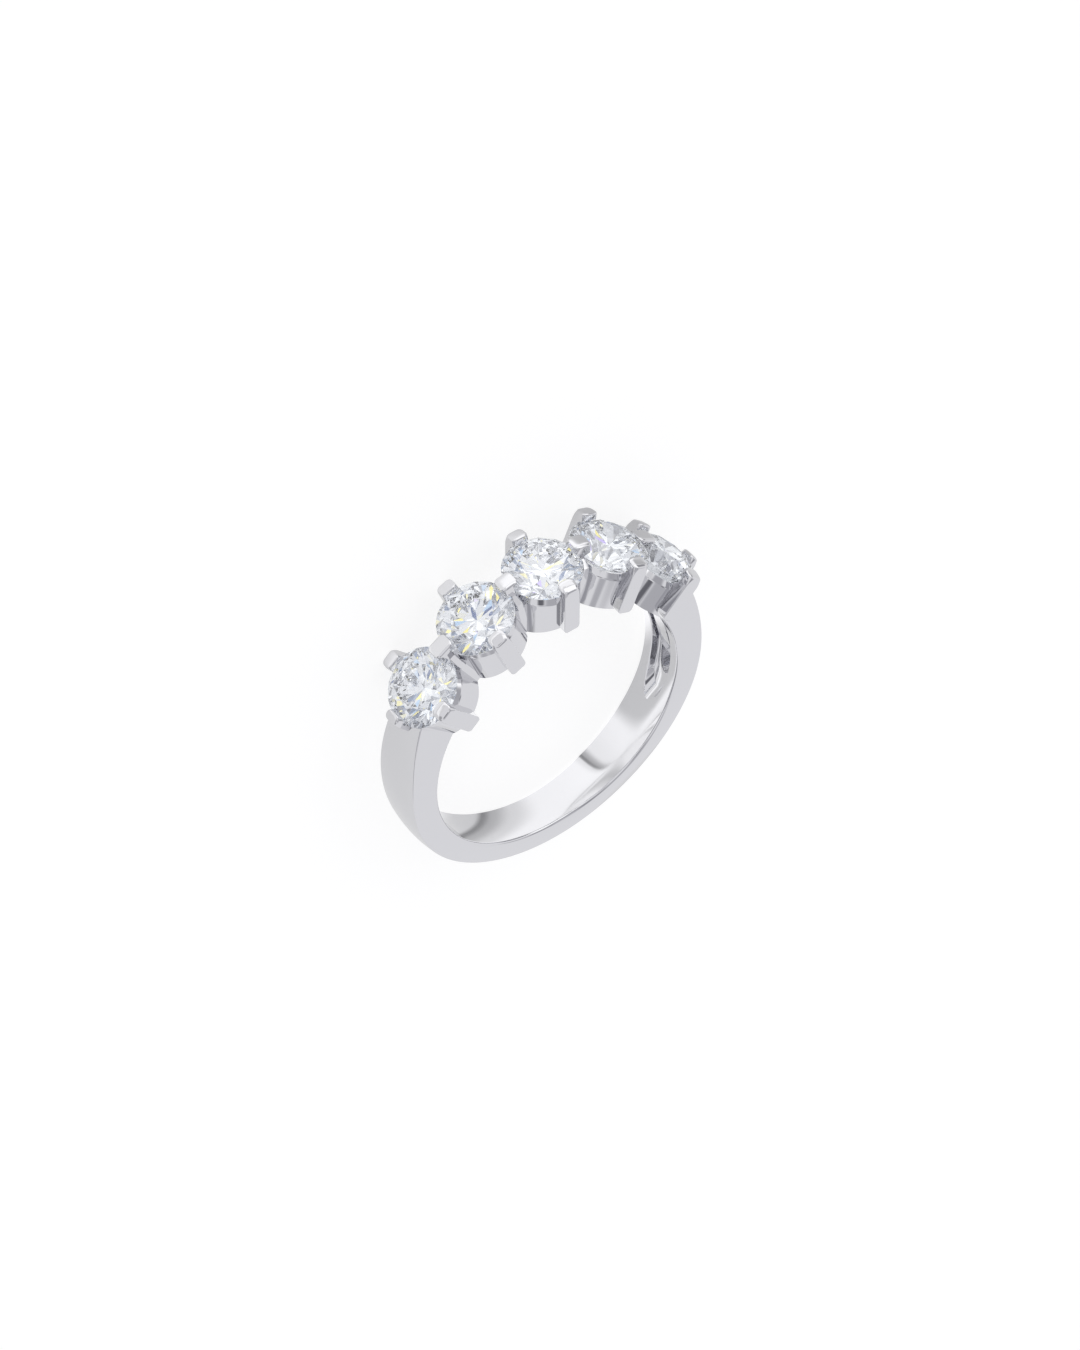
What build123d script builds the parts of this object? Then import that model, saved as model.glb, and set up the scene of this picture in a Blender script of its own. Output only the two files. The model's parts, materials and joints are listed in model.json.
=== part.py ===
from build123d import *
from math import acos, cos, degrees, radians, sin, sqrt, tan
import os

# A five-stone half eternity ring, lying on its side as it would on a table, in millimetres.
# It is built in the ring's own frame and laid down at the end. In the ring's frame +X runs
# along the row of stones, +Y points out through the middle stone and +Z is the finger's axis.

# Finger hole and band
finger_bore_diameter = 17.0
band_thickness = 1.6         # at the back of the finger, to the ridges
band_crown = 0.14            # how far the outer surface swells past the ridges
band_inner_width = 2.75      # along the finger, at the back of the finger
band_outer_width = 2.2
shoulder_inner_width = 3.3   # along the finger, where the band is widest
shoulder_outer_width = 3.15
shoulder_end_width = 2.3     # between the ridges where the band meets the end stone
edge_bevel = 0.16            # polished bevel along the finger hole's edges

# Stones: round brilliants
stone_diameter = 4.7
table_share = 0.57           # table width over the stone's diameter
crown_angle = 34.5
pavilion_angle = 40.8
girdle_thickness = 0.12
star_share = 0.52            # how far the star facets reach from the table to the girdle
lower_half_share = 0.78      # how far the lower halves reach from the girdle to the culet

# Collars, the short tubes that the stones sit in
collar_inset = 0.2           # the collar's outside within the girdle
collar_wall = 0.6
collar_drop = 0.42           # the collar's rim below the girdle
collar_shoulder = 0.4        # height of the slope under the rim
collar_lean = 0.24           # how far that slope leans in
seat_clearance = 0.05        # between each stone and the metal
head_lift = 0.1              # the head's underside stands this far off the finger hole
head_arch_rise = 0.38        # and arches this much higher under the middle stone
head_arch_angle = 42.0       # from the middle stone, where the arch ends

# Claws
claw_width = 1.06
claw_root = 0.15             # how far the claws go into the collar's wall
claw_stand = 0.53            # the side claws' outer face beyond the girdle
end_claw_stand = 0.27        # the end claws' outer face beyond the girdle
claw_height = 0.74           # above the girdle's middle
shared_claw_overlap = 0.5    # over each of the two stones, along the row
shared_claw_rise = 0.77      # above the two girdles where they meet
tip_radius = 0.2
claw_edge = 0.08             # round edge of the side claws' outer faces
claw_foot_corner = 0.3       # round lower corners of those faces, seen from the front
claw_foot_lift = 0.2         # the side claws' feet above the head's underside

# Webs between neighbouring collars
web_width = 0.42             # of a web's front face, along the row
web_depth = 2.14             # between its front and back, along the finger
web_flank = 0.4              # how far its flanks slope back into the collars
web_rise = 0.3               # its sloping top above the line between two girdles

# Hollow behind each shoulder, its angles counted from the middle stone
pocket_width = 1.72
pocket_depth = 0.65
pocket_taper_angle = 94.0    # where it begins to narrow
pocket_end_angle = 113.3     # where its round end is centred
pocket_end_radius = 0.6

# Row of stones from the middle outwards, a row for each place:
# seat height as a share of the stone's diameter, gap to the stone before as the same share,
# and the stone's lean as a share of its place's angle
stone_places = [
    (0.715, 0.0, 0.0),
    (0.683, 0.028, 0.956),
    (0.568, 0.068, 0.894),
]

# Sections of the band from the back of the finger to the end stone, a row for each:
# way along, thickness, inner width and outer width, each as a share between the named sizes
band_sections = [
    (0.0, 0.0, 0.0, 0.0),
    (0.28, 0.0, 0.55, 0.12),
    (0.56, 0.0, 0.78, 0.72),
    (0.8, 0.26, 1.0, 1.0),
]

finger_radius = finger_bore_diameter / 2
stone_radius = stone_diameter / 2
collar_radius = stone_radius - collar_inset
claw_inner = collar_radius - claw_root
underside_radius = finger_radius + head_lift
table_radius = stone_radius * table_share
crown_height = (stone_radius - table_radius) * tan(radians(crown_angle))
pavilion_height = stone_radius * tan(radians(pavilion_angle))
through = 2 * (stone_diameter + claw_stand)    # longer than the ring along the finger
turn_range = (0.0, 15.0)     # degrees within which the ring comes to rest
turn_halvings = 14


def row_of_stones():
    """The place angle, distance from the finger's axis and lean of each stone, from the middle."""
    places = []
    angle = 0.0
    for seat_height, gap, lean in stone_places:
        distance = finger_radius + seat_height * stone_diameter
        if places:
            before = places[-1][1]
            step = stone_diameter * (1 + gap)
            angle += degrees(acos((before**2 + distance**2 - step**2) / (2 * before * distance)))
        places.append((angle, distance, angle * lean))
    return places


def head_arch():
    """The centre and radius of the arch that lifts the head's underside over the middle of the finger."""
    top = underside_radius + head_arch_rise
    foot_across = underside_radius * sin(radians(head_arch_angle))
    foot_up = underside_radius * cos(radians(head_arch_angle))
    centre = (top**2 - foot_across**2 - foot_up**2) / (2 * (top - foot_up))
    return Vector(0, centre, 0), top - centre


places = row_of_stones()
end_place_angle, end_distance, _ = places[-1]


def seat_plane(index):
    """The girdle plane of stone index, -2 to 2: x along the row, z out of the stone's table."""
    angle, distance, lean = places[abs(index)]
    side = -1 if index < 0 else 1
    angle, lean = radians(side * angle), radians(side * lean)
    centre = (distance * sin(angle), distance * cos(angle), 0)
    return Plane(origin=centre, x_dir=(cos(lean), -sin(lean), 0), z_dir=(sin(lean), cos(lean), 0))


def shared_plane(index):
    """The plane of the claw between stones index and index + 1, on the line between their centres."""
    first, second = seat_plane(index), seat_plane(index + 1)
    out = (first.z_dir + second.z_dir).normalized()
    along = (first.x_dir + second.x_dir).normalized()
    return Plane(origin=(first.origin + second.origin) / 2, x_dir=along, z_dir=out)


def depth_to_underside(plane):
    """How far below a seat plane's origin its axis meets the head's underside."""
    depths = []
    for centre, radius in ((Vector(0, 0, 0), underside_radius), head_arch()):
        offset = plane.origin - centre
        along = offset.dot(plane.z_dir)
        depths.append(along - sqrt(along**2 - offset.dot(offset) + radius**2))
    return min(depths)


# The stones

def ring_point(radius, angle, height):
    """A point round the stone's axis."""
    return Vector(radius * cos(radians(angle)), radius * sin(radians(angle)), height)


def facet(*points):
    """One flat polished face."""
    return Face(Wire.make_polygon(list(points), close=True))


def brilliant():
    """A round brilliant about +Z with its girdle's middle at z = 0: every facet of the cut."""
    half_girdle = girdle_thickness / 2
    turn, half_turn = 45, 22.5
    mid_cos = cos(radians(half_turn))
    star_radius = table_radius + (stone_radius - table_radius) * star_share
    star_height = half_girdle + (stone_radius - star_radius * mid_cos) * tan(radians(crown_angle))
    lower_radius = stone_radius * (1 - lower_half_share)
    lower_height = -half_girdle - (stone_radius - lower_radius * mid_cos) * tan(radians(pavilion_angle))
    culet = Vector(0, 0, -half_girdle - pavilion_height)
    table = [ring_point(table_radius, turn * k, half_girdle + crown_height) for k in range(8)]
    star = [ring_point(star_radius, turn * k + half_turn, star_height) for k in range(8)]
    lower = [ring_point(lower_radius, turn * k + half_turn, lower_height) for k in range(8)]
    upper_girdle = [ring_point(stone_radius, half_turn * k, half_girdle) for k in range(16)]
    lower_girdle = [ring_point(stone_radius, half_turn * k, -half_girdle) for k in range(16)]
    facets = [facet(*table)]
    for k in range(8):
        corner, middle, after = 2 * k, 2 * k + 1, (2 * k + 2) % 16
        facets.append(facet(table[k], star[k], table[(k + 1) % 8]))
        facets.append(facet(table[k], star[k - 1], upper_girdle[corner], star[k]))
        facets.append(facet(star[k], upper_girdle[corner], upper_girdle[middle]))
        facets.append(facet(star[k], upper_girdle[middle], upper_girdle[after]))
        facets.append(facet(lower[k], lower_girdle[middle], lower_girdle[corner]))
        facets.append(facet(lower[k], lower_girdle[after], lower_girdle[middle]))
        facets.append(facet(culet, lower[k], lower_girdle[corner], lower[k - 1]))
    for k in range(16):
        after = (k + 1) % 16
        facets.append(facet(upper_girdle[k], lower_girdle[k], lower_girdle[after], upper_girdle[after]))
    return Solid(Shell(facets))


def stone_room():
    """The space kept free for a stone, a clearance larger all round."""
    girdle = stone_radius + seat_clearance
    half_girdle = girdle_thickness / 2 + seat_clearance
    top = half_girdle + crown_height
    bottom = -half_girdle - pavilion_height
    profile = Polyline(
        (0, top),
        (table_radius, top),
        (girdle, half_girdle),
        (girdle, -half_girdle),
        (0, bottom),
        close=True,
    )
    return revolve(Plane.XZ * make_face(profile), Axis.Z)


# The head: collars and claws

def bar(radius, top, bottom):
    """A round bar down a seat plane's axis, from depth top to bottom."""
    return Pos(0, 0, -(top + bottom) / 2) * Cylinder(radius, bottom - top)


def collar_shape(bottom):
    """A collar down to a depth, not yet hollow: a sloping shoulder over a straight wall."""
    slope_foot = collar_drop + collar_shoulder
    slope = Cone(collar_radius, collar_radius - collar_lean, collar_shoulder)
    return Pos(0, 0, -(collar_drop + slope_foot) / 2) * slope + bar(collar_radius, slope_foot, bottom)


def side_claw(depth):
    """A claw beside a stone, standing towards +Y of its seat plane: a flat post with a round foot and tip."""
    outer = stone_radius + claw_stand
    post = Pos(0, (claw_inner + outer) / 2, (claw_height - depth) / 2) * Box(
        claw_width, outer - claw_inner, claw_height + depth
    )
    post = fillet(post.edges().filter_by(Axis.Y).group_by(Axis.Z)[0], claw_foot_corner)
    outer_face = post.faces().sort_by(Axis.Y)[-1]
    foot_edges = [edge for edge in outer_face.edges() if edge.center().Z < claw_foot_corner - depth]
    post = fillet(foot_edges, claw_edge)
    return fillet(post.faces().sort_by(Axis.Z)[-1].edges(), tip_radius)


def end_claw(depth):
    """A claw at the end of the row, standing towards +X of its seat plane."""
    outer = stone_radius + end_claw_stand
    post = Pos((claw_inner + outer) / 2, 0, (claw_height - depth) / 2) * Box(
        outer - claw_inner, claw_width, claw_height + depth
    )
    return fillet(post.faces().sort_by(Axis.Z)[-1].edges(), tip_radius)


def shared_claw(index, depth):
    """The claw that stones index and index + 1 share, on its own plane."""
    first, second = seat_plane(index), seat_plane(index + 1)
    between = (second.origin - first.origin).length
    half_bend = radians(first.z_dir.get_angle(second.z_dir) / 2)
    top = (between / 2) * tan(half_bend) + shared_claw_rise
    length = between - stone_diameter + 2 * shared_claw_overlap
    post = Pos(0, 0, (top - depth) / 2) * Box(length, claw_width, top + depth)
    return fillet(post.faces().sort_by(Axis.Z)[-1].edges(), tip_radius)


def web(depth):
    """The web below a shared claw, on the same plane: its top slopes back to the claw, its flanks to the collars."""
    claw_half, half = claw_width / 2, web_depth / 2
    profile = Polyline(
        (-half, -depth),
        (half, -depth),
        (half, 0),
        (claw_half, web_rise),
        (-claw_half, web_rise),
        (-half, 0),
        close=True,
    )
    front = extrude(Plane.YZ * make_face(profile), web_width / 2, both=True)
    across, wide, narrow = web_width / 2, web_width / 2 + web_flank, half - web_flank
    flanks = Polyline(
        (-across, half),
        (across, half),
        (wide, narrow),
        (wide, -narrow),
        (across, -half),
        (-across, -half),
        (-wide, -narrow),
        (-wide, narrow),
        close=True,
    )
    return front + Pos(0, 0, -depth) * extrude(make_face(flanks), depth - collar_drop)


def head():
    """Five collars with their claws and webs, cut off below along the finger."""
    pieces = []
    for index in range(-2, 3):
        plane = seat_plane(index)
        depth = depth_to_underside(plane)
        pieces.append(plane * collar_shape(depth + collar_radius / 2))
        claw = side_claw(depth - claw_foot_lift)
        pieces.append(plane * claw)
        pieces.append(plane * mirror(claw, about=Plane.XZ))
    for index in range(-2, 2):
        plane = shared_plane(index)
        depth = depth_to_underside(plane) + head_lift
        pieces += [plane * shared_claw(index, depth), plane * web(depth)]
    last = seat_plane(2)
    claw = last * end_claw(depth_to_underside(last) / 2)
    pieces += [claw, mirror(claw, about=Plane.YZ)]
    arch_centre, arch_radius = head_arch()
    arch = Pos(*arch_centre) * Cylinder(arch_radius, through)
    return Part() + pieces - Cylinder(underside_radius, through) - arch


# The band

def band_section(turn, thickness, inner_width, outer_width):
    """The band cut across at an angle from the back of the finger: bevels, sloping sides, swollen outside."""
    hidden = finger_radius - 2 * edge_bevel
    bevel_top = finger_radius + edge_bevel
    ridge = finger_radius + thickness
    inner_half, outer_half = inner_width / 2, outer_width / 2
    hidden_half = inner_half - 3 * edge_bevel
    sides = Polyline(
        (ridge, -outer_half),
        (bevel_top, -inner_half),
        (hidden, -hidden_half),
        (hidden, hidden_half),
        (bevel_top, inner_half),
        (ridge, outer_half),
    )
    outside = ThreePointArc((ridge, outer_half), (ridge + band_crown, 0), (ridge, -outer_half))
    outward = Vector(sin(radians(turn)), -cos(radians(turn)), 0)
    plane = Plane(origin=(0, 0, 0), x_dir=outward, z_dir=outward.cross(Vector(0, 0, 1)))
    return plane * make_face(sides + outside)


def band():
    """The band from one end stone round the back of the finger to the other."""
    reach = 180 - end_place_angle - degrees(claw_width / end_distance)
    shoulder_thickness = end_distance - finger_radius
    half = []
    for way, thicken, widen, outer_widen in band_sections:
        thickness = band_thickness + (shoulder_thickness - band_thickness) * thicken
        inner_width = band_inner_width + (shoulder_inner_width - band_inner_width) * widen
        outer_width = band_outer_width + (shoulder_outer_width - band_outer_width) * outer_widen
        half.append((reach * way, thickness, inner_width, outer_width))
    half.append((reach, shoulder_thickness, shoulder_inner_width, shoulder_end_width))
    sections = [band_section(-turn, *sizes) for turn, *sizes in reversed(half[1:])]
    sections += [band_section(turn, *sizes) for turn, *sizes in half]
    return loft(sections) - Cylinder(finger_radius, through) - head_room(2) - head_room(-2)


def head_room(index):
    """The space over an end stone's collar, where the band stops short."""
    plane = seat_plane(index)
    side = 1 if index > 0 else -1
    size = 2 * stone_diameter
    over = Pos(0, 0, size / 2 - collar_drop - girdle_thickness) * Box(size, size, size)
    beyond = Pos(side * (collar_radius / 2 - size / 2), 0, 0) * Box(size, size, size)
    return plane * (over + beyond)


def outward(side, angle):
    """The direction out from the finger's axis at an angle from the middle stone."""
    return Vector(sin(radians(side * angle)), cos(radians(side * angle)), 0)


def pocket(side):
    """The hollow behind a shoulder, open to the finger hole and to the end stone's collar."""
    floor = finger_radius + pocket_depth
    spread = (end_place_angle, (end_place_angle + pocket_taper_angle) / 2, pocket_taper_angle)
    fan = [outward(side, angle) * (2 * floor) for angle in spread]
    wedge = extrude(make_face(Polyline((0, 0), *fan, close=True)), pocket_width / 2, both=True)
    middle = (pocket_taper_angle + pocket_end_angle) / 2
    half_way = finger_radius * sin(radians(pocket_end_angle - middle))
    half_width = pocket_width / 2
    taper = Polyline(
        (half_width, -half_way - pocket_end_radius),
        (half_width, -half_way),
        (pocket_end_radius, half_way),
        (-pocket_end_radius, half_way),
        (-half_width, -half_way),
        (-half_width, -half_way - pocket_end_radius),
        close=True,
    )
    outline = make_face(taper) + Pos(0, half_way) * Circle(pocket_end_radius)
    end_plane = Plane(origin=(0, 0, 0), x_dir=(0, 0, side), z_dir=outward(side, middle))
    narrow = end_plane * extrude(outline, 2 * floor)
    return (wedge + narrow) & Cylinder(floor, pocket_width)


def mount():
    """The ring's metal, soldered into one piece."""
    metal = head() + band()
    metal = metal - pocket(1) - pocket(-1)
    for index in range(-2, 3):
        plane = seat_plane(index)
        past = depth_to_underside(plane) + collar_radius / 2
        hole = bar(collar_radius - collar_wall, collar_drop, past)
        metal = metal - plane * hole - plane * stone_room()
    return metal


# Laid down on a table

def lowest(shape, turn):
    """The height of a shape's lowest point once the ring is turned about its row of stones."""
    return (Rot(X=turn) * shape).bounding_box().min.Z


def resting_turn(metal):
    """The turn at which the claws and the back of the band touch the table together."""
    size = 2 * finger_bore_diameter
    half_space = Pos(0, size / 2, 0) * Box(size, size, size)
    claws = metal & half_space
    back = metal - half_space
    low, high = turn_range
    for _ in range(turn_halvings):
        turn = (low + high) / 2
        if lowest(claws, turn) < lowest(back, turn):
            low = turn
        else:
            high = turn
    return (low + high) / 2


metal = mount()
turn = resting_turn(metal)
laid = Rot(X=turn) * metal
box = laid.bounding_box()
shift = Vector(-(box.min.X + box.max.X) / 2, -(box.min.Y + box.max.Y) / 2, -box.min.Z)
resting_place = Pos(*shift) * Rot(X=turn)

os.makedirs("parts", exist_ok=True)
export_step(resting_place * metal, "parts/ring_mount.step")
for index in range(-2, 3):
    stone = resting_place * (seat_plane(index) * brilliant())
    export_step(stone, f"parts/diamond_{index + 3}.step")

print("places", [(round(a, 2), round(d, 2), round(t, 2)) for a, d, t in places])
print("turn", turn, "shift", shift, "size", box.size)
print("bore centre", (resting_place * Pos(0, 0, 0)).position)
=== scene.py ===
import json
from math import atan2, ceil, cos, degrees, pi, radians, sin, sqrt, tan

import bmesh
import bpy
import numpy as np
from mathutils import Matrix, Vector


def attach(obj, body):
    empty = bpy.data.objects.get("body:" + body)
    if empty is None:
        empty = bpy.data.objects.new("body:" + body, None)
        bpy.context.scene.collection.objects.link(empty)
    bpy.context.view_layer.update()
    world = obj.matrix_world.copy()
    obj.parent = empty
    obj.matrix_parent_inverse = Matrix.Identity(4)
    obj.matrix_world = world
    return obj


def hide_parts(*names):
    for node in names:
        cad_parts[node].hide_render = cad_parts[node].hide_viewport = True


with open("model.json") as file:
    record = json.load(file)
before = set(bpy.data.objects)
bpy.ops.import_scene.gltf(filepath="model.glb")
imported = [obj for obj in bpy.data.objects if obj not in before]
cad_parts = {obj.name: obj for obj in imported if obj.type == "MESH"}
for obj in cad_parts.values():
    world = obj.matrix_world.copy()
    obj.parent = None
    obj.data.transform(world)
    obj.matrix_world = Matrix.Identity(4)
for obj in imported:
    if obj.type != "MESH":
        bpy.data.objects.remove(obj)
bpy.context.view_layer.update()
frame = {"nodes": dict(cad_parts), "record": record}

# The ring is modelled in its own frame in millimetres, as in its CAD: +X along the row of
# stones, +Y out through the middle stone, +Z the finger's axis. The frame gives where that lies.
mm = 0.001
STONES = ["diamond_1", "diamond_2", "diamond_3", "diamond_4", "diamond_5"]
MIDDLE = STONES[2]

# Band, in millimetres
band_thickness = 1.6
band_crown = 0.14
band_inner_width = 2.75
band_outer_width = 2.2
shoulder_inner_width = 3.3
shoulder_outer_width = 3.15
shoulder_end_width = 2.3
edge_round = 0.17            # along the finger hole's edges
ridge_round = 0.09           # along the ridges

# Way along the half band, then thickness, inner and outer width, each as a share between sizes
band_sections = [
    (0.0, 0.0, 0.0, 0.0),
    (0.28, 0.0, 0.55, 0.12),
    (0.56, 0.0, 0.78, 0.72),
    (0.8, 0.26, 1.0, 1.0),
]

# Stones
table_share = 0.57
crown_angle = 34.5
pavilion_angle = 40.8
girdle_thickness = 0.12
star_share = 0.52
lower_half_share = 0.78
girdle_sides = 96
mains = 8                    # bezel facets, and as many of each other kind or twice as many
near_girdle = 0.98           # a corner of the CAD stone this share out or more is on its girdle
stone_turns = [9.0, 31.0, 14.0, 4.0, 26.0]    # how each stone happens to sit, in degrees

# Collars
collar_inset = 0.2
collar_wall = 0.6
collar_drop = 0.42
collar_shoulder = 0.4
collar_lean = 0.24
shoulder_round = 0.25        # radius of the bend between the shoulder and the wall
shoulder_steps = 8
seat_clearance = 0.05
head_lift = 0.1
head_arch_rise = 0.38
head_arch_angle = 42.0

# Claws
claw_width = 1.06
claw_root = 0.15
claw_stand = 0.53
end_claw_stand = 0.27
claw_height = 0.78
shared_claw_overlap = 0.5
shared_claw_rise = 0.81
claw_corner = 0.07           # along a claw
pad_corner = 0.3             # of the pad on its end, seen from above
pad_height = 0.15            # of the pad's pillow
pad_fullness = 3.6           # how flat the pillow's middle is
pad_slope = 14.0             # how the side claws' pads fall away from the stone, in degrees
pad_steps = 12               # rings in a pad's pillow
pad_end = 88.0               # degrees: where the pillow's last ring is, just short of its middle
swell_steps = 4              # rings where a claw's corners grow into its pad's
claw_foot_edge = 0.1         # round lower edge of the side claws' outer faces
claw_foot_corner = 0.3       # round lower corners of those faces, seen from the front
claw_foot_lift = 0.2
foot_steps = 12

# Webs between the collars
web_width = 0.42
web_depth = 2.14
web_flank = 0.4              # how far its flanks slope back into the collars
web_rise = 0.3
web_round = 0.07

# Hollows behind the shoulders
pocket_half_width = 0.86
pocket_depth = 0.65
pocket_narrows_angle = 90.0
pocket_end_angle = 117.5
pocket_scoop = 10.0          # how much earlier its floor ends, in degrees
pocket_scoop_bend = 1.5      # 1 for an even slope up to that end, more for a hollow one
pocket_power = 3.3           # how square its end is, seen from the finger hole
pocket_floor_round = 0.22
pocket_lip = 0.05
pocket_lip_scoop = 0.15      # share of the scoop that the lip has
pocket_open = 0.4            # how far the cut starts inside the finger hole
pocket_steps = 24            # along its straight part, and again round its end
pocket_floor_steps = 8

# Shading of the metal's mesh
sharp_angle = 32.0           # edges that bend more stay sharp, in degrees
wall_slack = 0.001           # how far off the finger hole's cylinder its wall may lie
wall_lean = 0.1              # and how far its faces may lean, in radians

# Materials
gold_colour = (0.75, 0.75, 0.77)
gold_rough = (0.035, 0.085)  # from the brightest to the dullest spot
polish_scale = 900           # size of those spots, more for smaller ones
polish_detail = 4
diamond_colour = (0.9, 0.925, 0.96)
diamond_index = 2.417

# Camera: the photo's angle to the ring, seen in the ring's own frame
camera_azimuth = -28.57      # from the middle stone's direction, to the left
camera_elevation = 32.64     # above the ring's own plane
camera_roll = 135.07
camera_distance = 1.0
photo_width, photo_height = 1080, 1350
finger_centre_px = (541.55, 709.55)
px_per_mm = 17.517
sensor = 36.0
camera_reach = 10.0          # how far it sees, in metres

# Light tent: its grey, then patches of another colour, each with the direction of its centre in
# the ring's frame, its radius and the half width of its soft edge in degrees
tent_grey = (0.86, 0.86, 0.88)
tent_patches = [
    ((0.37, 0.37, 0.39), (-0.85, -0.45, 0.1), 25, 4),
    ((0.42, 0.42, 0.44), (-0.97, 0.2, 0.1), 14, 4),
    ((0.5, 0.5, 0.53), (0.0, 0.0, 1.0), 30, 7),
    ((0.52, 0.52, 0.55), (-0.6, -0.28, 0.75), 8, 5),
    ((0.16, 0.16, 0.18), (-0.62, 0.28, 0.73), 8, 4),
    ((0.42, 0.42, 0.45), (0.62, -0.16, 0.77), 8, 4),
    ((0.8, 0.8, 0.83), (0.3, 0.0, 0.95), 6, 3),
    ((0.1, 0.1, 0.12), (0.52, 0.1, 0.85), 7, 3),
    ((1.35, 1.35, 1.35), (0.37, 0.9, 0.2), 29, 5),
    ((0.78, 0.78, 0.8), (0.05, 0.9, 0.43), 9, 3),
    ((0.45, 0.45, 0.48), (0.2, 0.6, 0.77), 18, 5),
    ((0.2, 0.2, 0.22), (-0.3, 0.74, 0.55), 4, 3),
    ((0.35, 0.35, 0.37), (0.85, 0.5, 0.08), 14, 4),
    ((0.08, 0.08, 0.09), (0.09, 0.07, 1.0), 6, 3),
]

# Fire: patches that show only through the stones
fire_patches = [
    ((0.02, 0.08, 0.28), (-0.46, 0.80, 0.38), 5, 1.5),
    ((0.55, 0.75, 1.0), (-0.12, 0.93, 0.34), 4, 1.5),
    ((0.55, 0.75, 1.0), (-0.57, 0.79, 0.20), 4, 1.5),
    ((0.22, 0.28, 0.40), (-0.46, 0.63, 0.63), 8, 1.5),
    ((0.25, 0.32, 0.50), (-0.44, 0.88, 0.20), 4, 1.5),
    ((0.36, 0.40, 0.50), (0.06, 0.68, 0.73), 7, 1.5),
    ((0.22, 0.28, 0.42), (-0.69, 0.65, 0.30), 7, 1.5),
    ((1.3, 1.15, 0.4), (-0.57, 0.82, -0.04), 4, 1.5),
    ((1.3, 1.15, 0.4), (-0.10, 0.74, 0.66), 5, 1.5),
    ((1.3, 1.15, 0.4), (-0.52, 0.35, 0.78), 4, 1.5),
    ((1.3, 1.15, 0.4), (0.11, 0.98, 0.14), 4, 1.5),
    ((1.2, 1.1, 0.6), (-0.85, 0.44, 0.29), 4, 1.5),
    ((0.75, 0.6, 1.15), (0.29, 0.86, 0.41), 4, 1.5),
]

# The white table: how strongly it glows to the eye, then as the ring mirrors it: far off, and in
# patches, each with its glow, its centre and half sizes in millimetres, its turn in degrees and
# its soft share
table_half = 1.5             # half its side, in metres
table_grey = 0.3             # its paint under the glow
table_rough = 0.9
table_white = 0.8
table_far = 0.6
table_patches = [
    (0.6, (0.0, 0.0), (45.0, 45.0), 0.0, 0.2),
    (0.78, (-8.0, 24.0), (28.0, 14.2), 20.0, 0.06),
    (1.1, (7.0, 26.5), (13.5, 13.5), 0.0, 0.15),
    (1.0, (10.0, 150.0), (90.0, 115.0), 0.0, 0.1),
    (0.95, (-80.0, 75.0), (52.0, 48.0), 0.0, 0.2),
    (0.35, (65.0, 40.0), (42.0, 22.0), 30.0, 0.3),
    (0.9, (-10.6, 8.5), (2.4, 1.8), 0.0, 0.4),
    (0.42, (11.0, 12.2), (7.0, 6.4), 0.0, 0.35),
]

# Within the finger hole the table is a fan of shades round one point, which the inside of the
# band mirrors as shades across it: degrees round from the back, then the glow there
fan_centre = (2.2, -5.0)
fan_reach = 9.4              # from the middle of the hole
fan_brightest = 1.1
fan = [
    (-180, 0.80),
    (-162, 0.95),
    (-152, 0.65),
    (-145, 0.45),
    (-132, 0.90),
    (-80, 0.90),
    (-66, 0.60),
    (-57, 0.60),
    (-53, 0.16),
    (-48, 0.40),
    (-37, 0.70),
    (-22, 1.00),
    (15, 1.05),
    (21, 0.85),
    (23, 0.10),
    (26, 0.40),
    (33, 0.90),
    (62, 1.00),
    (74, 0.55),
    (108, 0.55),
    (122, 1.05),
    (138, 1.05),
    (152, 0.60),
    (165, 0.80),
]


# The ring's frame, read from the model

bore = next(m for m in frame["record"]["mounts"] if m["kind"] == "bore")
finger_radius = bore["dims"]["r_mm"]
finger_axis = Vector(bore["axis"]).normalized()
finger_centre = Vector(bore["pos_m"])


def seat(node):
    """A stone's girdle centre, its axis out of the table and its radius, from its CAD node."""
    points = np.array([v.co for v in frame["nodes"][node].data.vertices])
    points = np.unique(points.round(decimals=8), axis=0)
    middle = points.mean(0)
    axis = np.linalg.svd(points - middle)[2][2]
    if axis @ (middle - np.array(finger_centre)) < 0:
        axis = -axis
    heights = (points - middle) @ axis
    across = np.linalg.norm(points - middle - np.outer(heights, axis), axis=1)
    girdle = across > near_girdle * across.max()
    return Vector(middle + axis * heights[girdle].mean()), Vector(axis), across.max()


def axes(x, y, z):
    """The rotation whose columns are three directions."""
    return Matrix((x, y, z)).transposed().to_4x4()


middle_centre, _, stone_radius = seat(MIDDLE)
stone_radius /= mm
out = middle_centre - finger_centre
out = (out - finger_axis * out.dot(finger_axis)).normalized()
ring_axes = axes(out.cross(finger_axis), out, finger_axis)
ring_to_rest = Matrix.Translation(finger_centre) @ ring_axes @ Matrix.Scale(mm, 4)
rest_to_ring = ring_to_rest.inverted()


def plane(origin, z):
    """A place in the ring's frame: z out of the stone, x along the row."""
    z = Vector((z.x, z.y, 0)).normalized()
    x = Vector((z.y, -z.x, 0))
    return Matrix.Translation((origin.x, origin.y, 0)) @ axes(x, z.cross(x), z)


def seat_plane(node):
    """A stone's place in the ring's frame."""
    centre, axis, _ = seat(node)
    return plane(rest_to_ring @ centre, ring_axes.inverted() @ axis)


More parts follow.
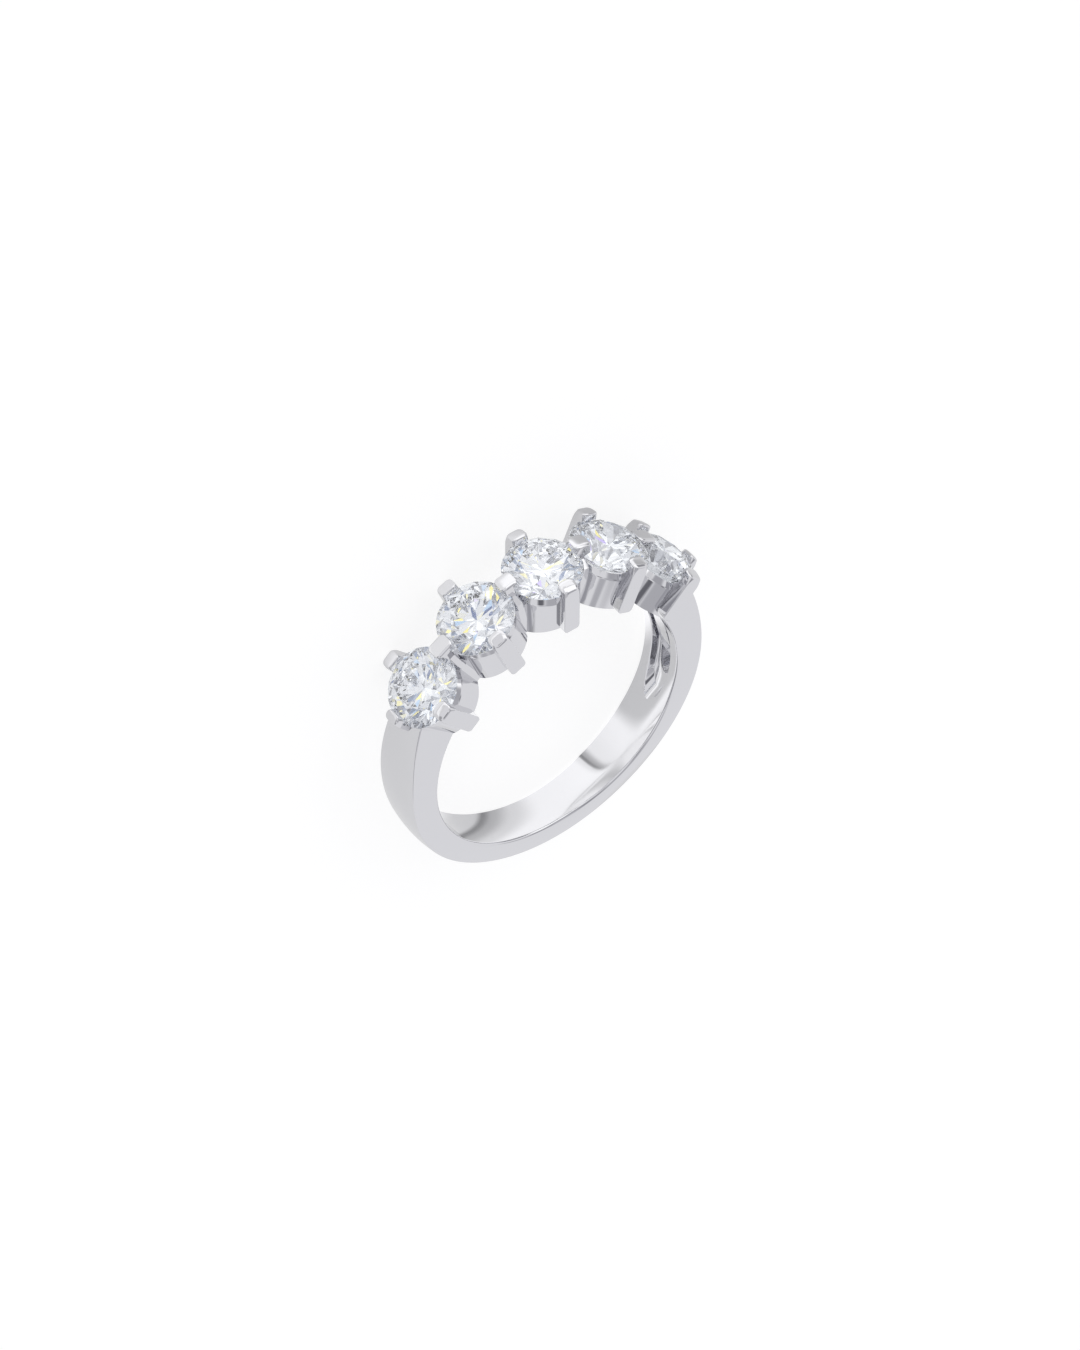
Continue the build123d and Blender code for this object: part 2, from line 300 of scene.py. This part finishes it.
seats = [seat_plane(node) for node in STONES]
places = [place.translation for place in seats]
outs = [place.to_3x3() @ Vector((0, 0, 1)) for place in seats]
end_distance = places[-1].length
end_place_angle = degrees(atan2(places[-1].x, places[-1].y))
stone_diameter = 2 * stone_radius
collar_radius = stone_radius - collar_inset
claw_inner = collar_radius - claw_root
underside_radius = finger_radius + head_lift
table_radius = stone_radius * table_share
crown_height = (stone_radius - table_radius) * tan(radians(crown_angle))
pavilion_height = stone_radius * tan(radians(pavilion_angle))
through = 2 * (stone_diameter + claw_stand)


def head_arch():
    """The centre's height and the radius of the arch under the head."""
    top = underside_radius + head_arch_rise
    across = underside_radius * sin(radians(head_arch_angle))
    up = underside_radius * cos(radians(head_arch_angle))
    centre = (top**2 - across**2 - up**2) / (2 * (top - up))
    return centre, top - centre


def depth_to_underside(place):
    """How far below a place its axis meets the head's underside."""
    arch_centre, arch_radius = head_arch()
    z = place.to_3x3() @ Vector((0, 0, 1))
    undersides = [(0, underside_radius), (arch_centre, arch_radius)]
    depths = []
    for centre_y, radius in undersides:
        offset = place.translation - Vector((0, centre_y, 0))
        down = offset.dot(z)
        depths.append(down - sqrt(down**2 - offset.dot(offset) + radius**2))
    return min(depths)


# Mesh helpers

def new_object(name, bm):
    """Makes an object of a mesh and links it to the scene."""
    mesh = bpy.data.meshes.new(name)
    bm.to_mesh(mesh)
    bm.free()
    piece = bpy.data.objects.new(name, mesh)
    bpy.context.scene.collection.objects.link(piece)
    return piece


def shell(rings, place=Matrix.Identity(4)):
    """A closed mesh through rings of as many points each, capped at both ends."""
    bm = bmesh.new()
    rows = [[bm.verts.new(place @ Vector(point)) for point in ring] for ring in rings]
    for row, following in zip(rows, rows[1:]):
        for k in range(len(row)):
            bm.faces.new((row[k - 1], row[k], following[k], following[k - 1]))
    bm.faces.new(rows[0])
    bm.faces.new(rows[-1])
    bmesh.ops.recalc_face_normals(bm, faces=bm.faces)
    return new_object("shell", bm)


def rounded(corners, steps=6):
    """A closed outline through (x, y, radius) corners, each round to its radius."""
    points = []
    for i, (x, y, radius) in enumerate(corners):
        corner = Vector((x, y))
        if radius == 0:
            points.append((x, y))
            continue
        before = (Vector(corners[i - 1][:2]) - corner).normalized()
        after = (Vector(corners[(i + 1) % len(corners)][:2]) - corner).normalized()
        half = before.angle(after) / 2
        centre = corner + (before + after).normalized() * (radius / sin(half))
        start = corner + before * (radius / tan(half)) - centre
        end = corner + after * (radius / tan(half)) - centre
        turn = start.angle(end)
        for k in range(steps + 1):
            share = k / steps
            arm = start * sin((1 - share) * turn) + end * sin(share * turn)
            points.append(tuple(centre + arm / sin(turn)))
    return points


def revolved(profile, place, sides=128):
    """A closed solid of revolution: (radius, height) from the bottom up, none on the axis."""
    turns = [2 * pi * k / sides for k in range(sides)]
    return shell([[(r * cos(a), r * sin(a), h) for a in turns] for r, h in profile], place)


def combine(body, other, operation):
    """Joins another mesh to the body, or cuts it away, and drops it."""
    modifier = body.modifiers.new("combine", "BOOLEAN")
    modifier.operation = operation
    modifier.object = other
    modifier.solver = "MANIFOLD"
    depsgraph = bpy.context.evaluated_depsgraph_get()
    mesh = bpy.data.meshes.new_from_object(body.evaluated_get(depsgraph))
    body.modifiers.remove(modifier)
    body.data = mesh
    bpy.data.objects.remove(other)
    return body


def spline(at, known_at, known):
    """Values on the natural cubic spline through a few known ones."""
    step = np.diff(known_at)
    slope = np.diff(known) / step
    count = len(known_at)
    system = np.eye(count)
    right = np.zeros(count)
    for i in range(1, count - 1):
        system[i, i - 1:i + 2] = step[i - 1], 2 * (step[i - 1] + step[i]), step[i]
        right[i] = 6 * (slope[i] - slope[i - 1])
    bend = np.linalg.solve(system, right)
    i = np.clip(np.searchsorted(known_at, at) - 1, 0, count - 2)
    after, before, h = at - known_at[i], known_at[i + 1] - at, step[i]
    value = (bend[i] * before**3 + bend[i + 1] * after**3) / (6 * h)
    value += (known[i] / h - bend[i] * h / 6) * before
    return value + (known[i + 1] / h - bend[i + 1] * h / 6) * after


# The metal

def band():
    """The band, swept from one end stone round the back of the finger to the other."""
    reach = 180 - end_place_angle - degrees(claw_width / end_distance)
    shoulder_thickness = end_distance - finger_radius
    half = []
    for way, thicken, widen, outer_widen in band_sections:
        half.append((
            reach * way,
            band_thickness + (shoulder_thickness - band_thickness) * thicken,
            band_inner_width + (shoulder_inner_width - band_inner_width) * widen,
            band_outer_width + (shoulder_outer_width - band_outer_width) * outer_widen,
        ))
    half.append((reach, shoulder_thickness, shoulder_inner_width, shoulder_end_width))
    known = np.array([(-turn, *rest) for turn, *rest in reversed(half[1:])] + half)
    turns = np.linspace(-reach, reach, 2 * ceil(reach) + 1)
    thickness, inner, outer = (spline(turns, known[:, 0], known[:, k]) for k in (1, 2, 3))
    crown_steps = 12
    rings = []
    for turn, thick, inner_width, outer_width in zip(turns, thickness, inner, outer):
        ridge = finger_radius + thick
        a, b = inner_width / 2, outer_width / 2
        corners = [
            (ridge, -b, ridge_round),
            (finger_radius, -a, edge_round),
            (finger_radius, a, edge_round),
            (ridge, b, ridge_round),
        ]
        for k in range(1, crown_steps):
            across = 1 - 2 * k / crown_steps
            corners.append((ridge + band_crown * (1 - across**2), b * across, 0))
        x, y = sin(radians(turn)), -cos(radians(turn))
        rings.append([(x * r, y * r, z) for r, z in rounded(corners)])
    body = shell(rings)
    for index, side in ((0, -1), (-1, 1)):
        for room in head_room(seats[index], side):
            combine(body, room, "DIFFERENCE")
    return body


def block(low, high, place):
    """A plain block between two corners."""
    (x0, y0, z0), (x1, y1, z1) = low, high
    outline = [(x0, y0), (x1, y0), (x1, y1), (x0, y1)]
    return shell([[(x, y, z) for x, y in outline] for z in (z0, z1)], place)


def head_room(place, side):
    """The space over an end stone's collar, where the band stops short."""
    size = 2 * stone_diameter
    floor = -collar_drop - girdle_thickness
    yield block((-size / 2, -size / 2, floor), (size / 2, size / 2, floor + size), place)
    ends = sorted((side * collar_radius / 2, side * (collar_radius / 2 - size)))
    yield block((ends[0], -size / 2, -size / 2), (ends[1], size / 2, size / 2), place)


def post(low, high, bottom, top, place, foot=0.0, slope=0.0):
    """A claw from bottom to top between two corners in plan, its foot round on the +y side."""
    levels = []
    if foot:
        for k in range(foot_steps + 1):
            height = claw_foot_corner * (1 - cos(radians(90 * k / foot_steps)))
            short = max(foot - height, 0)
            narrow = claw_foot_corner - sqrt(claw_foot_corner**2 - (claw_foot_corner - height)**2)
            levels.append((bottom + height, narrow, foot - sqrt(foot**2 - short**2), claw_corner))
    else:
        levels.append((bottom, 0, 0, claw_corner))
    rim = top - pad_height
    swell_from = rim - 2 * pad_corner
    for k in range(swell_steps + 1):
        share = k / swell_steps
        corner = claw_corner + (pad_corner - claw_corner) * share**2
        levels.append((swell_from + (rim - swell_from) * share, 0, 0, corner))
    rings = []
    for height, narrow, back, corner in levels:
        x0, y0 = low[0] + narrow, low[1]
        x1, y1 = high[0] - narrow, high[1] - back
        outline = rounded([(x0, y0, corner), (x1, y0, corner), (x1, y1, corner), (x0, y1, corner)])
        rings.append([(x, y, height) for x, y in outline])
    middle = Vector(((low[0] + high[0]) / 2, (low[1] + high[1]) / 2, rim))
    last = rings[-1]
    for k in range(1, pad_steps + 1):
        share = cos(radians(pad_end * k / pad_steps))
        lift = Vector((0, 0, pad_height * sqrt(1 - share**pad_fullness)))
        rings.append([tuple(middle + (Vector(point) - middle) * share + lift) for point in last])
    fall = tan(radians(slope))
    tilted = []
    for ring in rings:
        row = []
        for x, y, z in ring:
            weight = min(max((z - swell_from) / (top - swell_from), 0), 1)
            row.append((x, y, z - fall * (y - middle.y) * weight))
        tilted.append(row)
    return shell(tilted, place)


def claws():
    """All sixteen claws, and the webs under the shared ones."""
    for place in seats:
        depth = depth_to_underside(place) - claw_foot_lift
        outer = stone_radius + claw_stand
        for facing in (place, place @ Matrix.Rotation(pi, 4, "Z")):
            low, high = (-claw_width / 2, claw_inner), (claw_width / 2, outer)
            yield post(low, high, -depth, claw_height, facing, claw_foot_edge, pad_slope)
    for first, second, out_1, out_2 in zip(places, places[1:], outs, outs[1:]):
        between = (second - first).length
        place = plane((first + second) / 2, out_1 + out_2)
        top = (between / 2) * tan(out_1.angle(out_2) / 2) + shared_claw_rise
        half = (between - stone_diameter) / 2 + shared_claw_overlap
        depth = depth_to_underside(place) + head_lift
        yield web(place, depth)
        yield post((-half, -claw_width / 2), (half, claw_width / 2), -depth, top, place)
    outer = stone_radius + end_claw_stand
    for place, turn in ((seats[-1], -pi / 2), (seats[0], pi / 2)):
        depth = depth_to_underside(place) / 2
        facing = place @ Matrix.Rotation(turn, 4, "Z")
        low, high = (-claw_width / 2, claw_inner), (claw_width / 2, outer)
        yield post(low, high, -depth, claw_height, facing, 0.0, pad_slope)


def collar(place):
    """The short tube under a stone, still solid: a sloping shoulder over a straight wall."""
    past = depth_to_underside(place) + collar_radius / 2
    wall_top = -collar_drop - collar_shoulder
    slope = atan2(collar_lean, collar_shoulder)
    reach = shoulder_round * tan(slope / 2)
    profile = [(collar_radius, -past)]
    for k in range(shoulder_steps + 1):
        angle = slope * k / shoulder_steps
        radius = collar_radius - shoulder_round * (1 - cos(angle))
        profile.append((radius, wall_top - reach + shoulder_round * sin(angle)))
    profile.append((collar_radius - collar_lean, -collar_drop))
    return revolved(profile, place)


def light_hole(place):
    """The hole down through a collar."""
    past = depth_to_underside(place) + collar_radius / 2
    radius = collar_radius - collar_wall
    return revolved([(radius, -past), (radius, -collar_drop)], place)


def web(place, depth):
    """The web between two collars: its flanks slope back to them, its top to the shared claw."""
    across, half = web_width / 2, web_depth / 2
    levels = [
        (-depth, half, web_flank),
        (-collar_drop, half, web_flank),
        (-collar_drop, half, 0),
        (0, half, 0),
        (web_rise, claw_width / 2, 0),
    ]
    rings = []
    for height, front, flank in levels:
        wide, narrow = across + flank, front - web_flank
        corners = [
            (-across, -front, web_round),
            (across, -front, web_round),
            (wide, -narrow, 0),
            (wide, narrow, 0),
            (across, front, web_round),
            (-across, front, web_round),
            (-wide, narrow, 0),
            (-wide, -narrow, 0),
        ]
        rings.append([(x, y, height) for x, y in rounded(corners)])
    return shell(rings, place)


def stone_room(place):
    """The space kept free for a stone."""
    girdle = stone_radius + seat_clearance
    half_girdle = girdle_thickness / 2 + seat_clearance
    tip = 0.01
    profile = [
        (tip, -half_girdle - pavilion_height),
        (girdle, -half_girdle),
        (girdle, half_girdle),
        (table_radius, half_girdle + crown_height),
    ]
    return revolved(profile, place)


def cylinder(radius, centre_y, sides=720):
    """A long cylinder along the finger."""
    place = Matrix.Translation((0, centre_y, 0))
    return revolved([(radius, -through / 2), (radius, through / 2)], place, sides)


def pocket(side):
    """The hollow behind a shoulder: open to the finger hole, its far end a scoop."""
    levels = [
        (-pocket_open, pocket_lip, 0.0),
        (0.0, pocket_lip, 0.0),
        (pocket_lip, 0.0, pocket_lip_scoop),
    ]
    wall = pocket_depth - pocket_floor_round
    for k in range(pocket_floor_steps + 1):
        angle = radians(90 * k / pocket_floor_steps)
        depth = wall + pocket_floor_round * sin(angle)
        levels.append((depth, -pocket_floor_round * (1 - cos(angle)), depth / pocket_depth))
    rings = []
    for depth, grow, scoop in levels:
        radius = finger_radius + depth
        shorter = pocket_scoop * scoop**pocket_scoop_bend
        end = pocket_end_angle - shorter + degrees(grow / finger_radius)
        straight = np.linspace(end_place_angle, pocket_narrows_angle, pocket_steps, endpoint=False)
        shares = np.sin(np.linspace(0, pi / 2, pocket_steps))
        narrow = pocket_narrows_angle + (end - pocket_narrows_angle) * shares
        width = (pocket_half_width + grow) * (1 - shares**pocket_power) ** 0.5
        upper = [(angle, pocket_half_width + grow) for angle in straight]
        upper += list(zip(narrow, width))
        lower = [(angle, -w) for angle, w in reversed(upper[:-1])]
        rings.append([
            (side * radius * sin(radians(angle)), radius * cos(radians(angle)), w)
            for angle, w in upper + lower
        ])
    return shell(rings)


def islands(bm):
    """A mesh's separate parts, each as its vertices."""
    left = set(bm.verts)
    while left:
        island = [left.pop()]
        for vertex in island:
            for edge in vertex.link_edges:
                other = edge.other_vert(vertex)
                if other in left:
                    left.remove(other)
                    island.append(other)
        yield island


def clean(body):
    """Welds what the cuts leave split by a hair, and drops the crumbs beside the metal."""
    hair = 2e-5
    bm = bmesh.new()
    bm.from_mesh(body.data)
    bmesh.ops.remove_doubles(bm, verts=bm.verts, dist=hair)
    bmesh.ops.dissolve_degenerate(bm, edges=bm.edges, dist=hair)
    for crumb in sorted(islands(bm), key=len)[:-1]:
        bmesh.ops.delete(bm, geom=crumb, context="VERTS")
    bm.to_mesh(body.data)
    bm.free()


def mount():
    """The ring's metal as one mesh."""
    body = None
    for piece in [*(collar(place) for place in seats), *claws()]:
        body = piece if body is None else combine(body, piece, "UNION")
    arch_centre, arch_radius = head_arch()
    combine(body, cylinder(underside_radius, 0), "DIFFERENCE")
    combine(body, cylinder(arch_radius, arch_centre), "DIFFERENCE")
    combine(body, band(), "UNION")
    for side in (-1, 1):
        combine(body, pocket(side), "DIFFERENCE")
    for place in seats:
        combine(body, light_hole(place), "DIFFERENCE")
        combine(body, stone_room(place), "DIFFERENCE")
    clean(body)
    return body


def hole_shading(mesh):
    """Gives the wall of the finger hole the normals of a true cylinder."""
    normals = [normal.vector.copy() for normal in mesh.corner_normals]
    inwards = []
    for vertex in mesh.vertices:
        way = finger_centre - vertex.co
        inwards.append(way - finger_axis * way.dot(finger_axis))
    on_wall = [abs(way.length - finger_radius * mm) < wall_slack * mm for way in inwards]
    for face in mesh.polygons:
        lean = face.normal.angle(inwards[face.vertices[0]], pi)
        if lean < wall_lean and all(on_wall[index] for index in face.vertices):
            for corner, index in zip(face.loop_indices, face.vertices):
                normals[corner] = inwards[index].normalized()
    mesh.normals_split_custom_set(normals)


def finish_metal(piece, name):
    """Places the mesh at rest in metres and gives it clean shading."""
    piece.name = name
    piece.data.name = name
    piece.data.transform(ring_to_rest)
    piece.data.shade_smooth()
    piece.data.set_sharp_from_angle(angle=radians(sharp_angle))
    weights = piece.modifiers.new("even shading", "WEIGHTED_NORMAL")
    weights.keep_sharp = True
    weights.mode = "FACE_AREA_WITH_ANGLE"
    depsgraph = bpy.context.evaluated_depsgraph_get()
    mesh = bpy.data.meshes.new_from_object(piece.evaluated_get(depsgraph))
    piece.modifiers.remove(weights)
    piece.data = mesh
    hole_shading(mesh)


# The stones

def brilliant(name, place, turn):
    """A round brilliant with all its facets and a round, scalloped girdle."""
    half_girdle = girdle_thickness / 2
    step = 360 / mains
    half_step, quarter_step = step / 2, step / 4
    mid_cos, quarter_cos = cos(radians(half_step)), cos(radians(quarter_step))
    crown_slope, pavilion_slope = tan(radians(crown_angle)), tan(radians(pavilion_angle))
    star_radius = table_radius + (stone_radius - table_radius) * star_share
    star_height = half_girdle + (stone_radius - star_radius * mid_cos) * crown_slope
    lower_radius = stone_radius * (1 - lower_half_share)
    lower_height = -half_girdle - (stone_radius - lower_radius * mid_cos) * pavilion_slope

    def around(radius, angle, height):
        angle = radians(angle + turn)
        return Vector((radius * cos(angle), radius * sin(angle), height))

    points = [Vector((0, 0, -half_girdle - pavilion_height))]
    for k in range(mains):
        points.append(around(table_radius, step * k, half_girdle + crown_height))
        points.append(around(star_radius, step * k + half_step, star_height))
        points.append(around(lower_radius, step * k + half_step, lower_height))
    chord = stone_radius * quarter_cos
    fall = (star_height - half_girdle) / (chord - star_radius * quarter_cos)
    rise = (-half_girdle - lower_height) / (chord - lower_radius * quarter_cos)
    for k in range(girdle_sides):
        angle = 360 * k / girdle_sides
        past = stone_radius * cos(radians((angle % half_step) - quarter_step)) - chord
        points.append(around(stone_radius, angle, half_girdle - fall * past))
        points.append(around(stone_radius, angle, -half_girdle + rise * past))
    bm = bmesh.new()
    for point in points:
        bm.verts.new(place @ point)
    hull = bmesh.ops.convex_hull(bm, input=bm.verts)
    spare = [v for v in hull["geom_interior"] + hull["geom_unused"] if isinstance(v, bmesh.types.BMVert)]
    bmesh.ops.delete(bm, geom=spare, context="VERTS")
    flat = radians(0.6)
    bmesh.ops.dissolve_limit(bm, angle_limit=flat, verts=bm.verts, edges=bm.edges)
    bmesh.ops.recalc_face_normals(bm, faces=bm.faces)
    stone = new_object(name, bm)
    stone.data.transform(ring_to_rest)
    return stone


# Materials

def new_material(name):
    """A material with its shader, its nodes and their links."""
    material = bpy.data.materials.new(name)
    material.use_nodes = True
    nodes, links = material.node_tree.nodes, material.node_tree.links
    return material, nodes["Principled BSDF"], nodes, links


def white_gold():
    """Bright polished, rhodium plated white gold, with the faint unevenness of hand polishing."""
    material, shader, nodes, links = new_material("white_gold")
    shader.inputs["Base Color"].default_value = (*gold_colour, 1)
    shader.inputs["Metallic"].default_value = 1.0
    place = nodes.new("ShaderNodeTexCoord")
    cloud = nodes.new("ShaderNodeTexNoise")
    cloud.inputs["Scale"].default_value = polish_scale
    cloud.inputs["Detail"].default_value = polish_detail
    links.new(place.outputs["Object"], cloud.inputs["Vector"])
    gloss = nodes.new("ShaderNodeMapRange")
    gloss.inputs["To Min"].default_value, gloss.inputs["To Max"].default_value = gold_rough
    links.new(cloud.outputs["Fac"], gloss.inputs["Value"])
    links.new(gloss.outputs["Result"], shader.inputs["Roughness"])
    return material


def diamond():
    """Colourless diamond."""
    material, shader, _, _ = new_material("diamond")
    shader.inputs["Base Color"].default_value = (*diamond_colour, 1)
    shader.inputs["Roughness"].default_value = 0.0
    shader.inputs["IOR"].default_value = diamond_index
    shader.inputs["Transmission Weight"].default_value = 1.0
    return material


def fan_glow(place, nodes, links):
    """The glow of the table within the finger hole, by the way round the fan's centre."""
    away = nodes.new("ShaderNodeVectorMath")
    away.operation = "SUBTRACT"
    away.inputs[1].default_value = (fan_centre[0] * mm, fan_centre[1] * mm, 0)
    links.new(place, away.inputs[0])
    apart = nodes.new("ShaderNodeSeparateXYZ")
    links.new(away.outputs["Vector"], apart.inputs["Vector"])
    back = nodes.new("ShaderNodeMath")
    back.operation = "MULTIPLY"
    back.inputs[1].default_value = -1
    links.new(apart.outputs["Y"], back.inputs[0])
    way = nodes.new("ShaderNodeMath")
    way.operation = "ARCTAN2"
    links.new(apart.outputs["X"], way.inputs[0])
    links.new(back.outputs["Value"], way.inputs[1])
    share = nodes.new("ShaderNodeMapRange")
    share.inputs["From Min"].default_value = -pi
    share.inputs["From Max"].default_value = pi
    links.new(way.outputs["Value"], share.inputs["Value"])
    shades = nodes.new("ShaderNodeValToRGB")
    shades.color_ramp.interpolation = "EASE"
    stops = shades.color_ramp.elements
    while len(stops) < len(fan):
        stops.new(1.0)
    for stop, (angle, strength) in zip(stops, fan):
        stop.position = (angle + 180) / 360
        stop.color = (*(strength / fan_brightest,) * 3, 1)
    links.new(share.outputs["Result"], shades.inputs["Fac"])
    glow = nodes.new("ShaderNodeMath")
    glow.operation = "MULTIPLY"
    glow.inputs[1].default_value = fan_brightest
    links.new(shades.outputs["Color"], glow.inputs[0])
    return glow.outputs["Value"]


def pale_floor():
    """A white table that glows as if lit from below, with painted patches of brighter and darker glow on
    it that only the ring mirrors.
    """
    material, shader, nodes, links = new_material("floor")
    shader.inputs["Base Color"].default_value = (table_grey, table_grey, table_grey, 1)
    shader.inputs["Roughness"].default_value = table_rough
    shader.inputs["Specular IOR Level"].default_value = 0.0
    shader.inputs["Emission Color"].default_value = (1, 1, 1, 1)
    place = nodes.new("ShaderNodeTexCoord").outputs["Object"]

    def mixed(below, factor, above):
        mix = nodes.new("ShaderNodeMix")
        links.new(factor, mix.inputs["Factor"])
        for socket, value in (("A", below), ("B", above)):
            if isinstance(value, float):
                mix.inputs[socket].default_value = value
            else:
                links.new(value, mix.inputs[socket])
        return mix.outputs["Result"]

    glow = table_far
    for strength, centre, size, turn, soft in table_patches:
        share = nodes.new("ShaderNodeMapping")
        share.vector_type = "TEXTURE"
        share.inputs["Location"].default_value = (centre[0] * mm, centre[1] * mm, 0)
        share.inputs["Rotation"].default_value = (0, 0, radians(turn))
        share.inputs["Scale"].default_value = (size[0] * mm, size[1] * mm, 1)
        links.new(place, share.inputs["Vector"])
        reach = nodes.new("ShaderNodeVectorMath")
        reach.operation = "LENGTH"
        links.new(share.outputs["Vector"], reach.inputs[0])
        edge = nodes.new("ShaderNodeMapRange")
        edge.interpolation_type = "SMOOTHSTEP"
        edge.inputs["From Min"].default_value = 1 + soft
        edge.inputs["From Max"].default_value = 1 - soft
        links.new(reach.outputs["Value"], edge.inputs["Value"])
        glow = mixed(glow, edge.outputs["Result"], strength)
    inside = nodes.new("ShaderNodeVectorMath")
    inside.operation = "DISTANCE"
    inside.inputs[1].default_value = (finger_centre.x, finger_centre.y, 0)
    links.new(place, inside.inputs[0])
    within = nodes.new("ShaderNodeMath")
    within.operation = "LESS_THAN"
    within.inputs[1].default_value = fan_reach * mm
    links.new(inside.outputs["Value"], within.inputs[0])
    glow = mixed(glow, within.outputs["Value"], fan_glow(place, nodes, links))
    # The camera sees the table evenly white; every other ray sees the painted patches of glow and the
    # fan of shades.
    seen = nodes.new("ShaderNodeLightPath").outputs["Is Camera Ray"]
    links.new(mixed(glow, seen, table_white), shader.inputs["Emission Strength"])
    return material


# The object

metal = mount()
finish_metal(metal, "polished_mount")
metal.data.materials.clear()
metal.data.materials.append(white_gold())
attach(metal, "root")
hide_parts("ring_mount")

clear = diamond()
for node, place, turn in zip(STONES, seats, stone_turns):
    stone = brilliant(node.replace("diamond", "brilliant"), place, turn)
    stone.data.materials.append(clear)
    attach(stone, "root")
    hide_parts(node)


# Floor, light and camera

def floor():
    """The table that the ring lies on."""
    bm = bmesh.new()
    corners = [(-1, -1), (1, -1), (1, 1), (-1, 1)]
    bm.faces.new([bm.verts.new((x * table_half, y * table_half, 0)) for x, y in corners])
    ground = new_object("floor", bm)
    ground.data.materials.append(pale_floor())


def surroundings():
    """A pale light tent with darker and brighter patches, and fire for the stones."""
    world = bpy.data.worlds.new("studio")
    bpy.context.scene.world = world
    world.use_nodes = True
    nodes, links = world.node_tree.nodes, world.node_tree.links
    way = nodes.new("ShaderNodeTexCoord").outputs["Generated"]
    through_stone = nodes.new("ShaderNodeLightPath").outputs["Is Transmission Ray"]
    colour = nodes.new("ShaderNodeRGB").outputs[0]
    colour.default_value = (*tent_grey, 1)
    for patch in tent_patches + fire_patches:
        patch_colour, direction, radius, soft = patch
        facing = nodes.new("ShaderNodeVectorMath")
        facing.operation = "DOT_PRODUCT"
        facing.inputs[1].default_value = (ring_axes.to_3x3() @ Vector(direction)).normalized()
        links.new(way, facing.inputs[0])
        edge = nodes.new("ShaderNodeMapRange")
        edge.interpolation_type = "SMOOTHSTEP"
        edge.inputs["From Min"].default_value = cos(radians(radius + soft))
        edge.inputs["From Max"].default_value = cos(radians(radius - soft))
        links.new(facing.outputs["Value"], edge.inputs["Value"])
        if patch in fire_patches:
            links.new(through_stone, edge.inputs["To Max"])
        mix = nodes.new("ShaderNodeMix")
        mix.data_type = "RGBA"
        mix.inputs["B"].default_value = (*patch_colour, 1)
        links.new(edge.outputs["Result"], mix.inputs["Factor"])
        links.new(colour, mix.inputs["A"])
        colour = mix.outputs["Result"]
    links.new(colour, nodes["Background"].inputs["Color"])


def camera():
    """The photo's view of the ring."""
    a, e, r = radians(camera_azimuth), radians(camera_elevation), radians(camera_roll)
    towards = Vector((sin(a) * cos(e), cos(a) * cos(e), sin(e)))
    level = Vector((-cos(a), sin(a), 0))
    upright = towards.cross(level)
    right = level * cos(r) + upright * sin(r)
    up = towards.cross(right)
    off_x = (photo_width / 2 - finger_centre_px[0]) / px_per_mm
    off_y = (finger_centre_px[1] - photo_height / 2) / px_per_mm
    target = ring_to_rest @ (right * off_x + up * off_y)
    spin = ring_axes.to_3x3()
    lens = bpy.data.cameras.new("camera")
    lens.sensor_width = sensor
    lens.lens = sensor * camera_distance / (photo_height / px_per_mm * mm)
    lens.clip_end = camera_reach
    seen = bpy.data.objects.new("camera", lens)
    bpy.context.scene.collection.objects.link(seen)
    turned = axes(spin @ right, spin @ up, spin @ towards)
    seen.matrix_world = Matrix.Translation(target + (spin @ towards) * camera_distance) @ turned
    bpy.context.scene.camera = seen


floor()
surroundings()
camera()

scene = bpy.context.scene
scene.view_settings.view_transform = "Standard"
scene.cycles.max_bounces = 32
scene.cycles.glossy_bounces = 28
scene.cycles.transmission_bounces = 24
scene.cycles.use_denoising = True
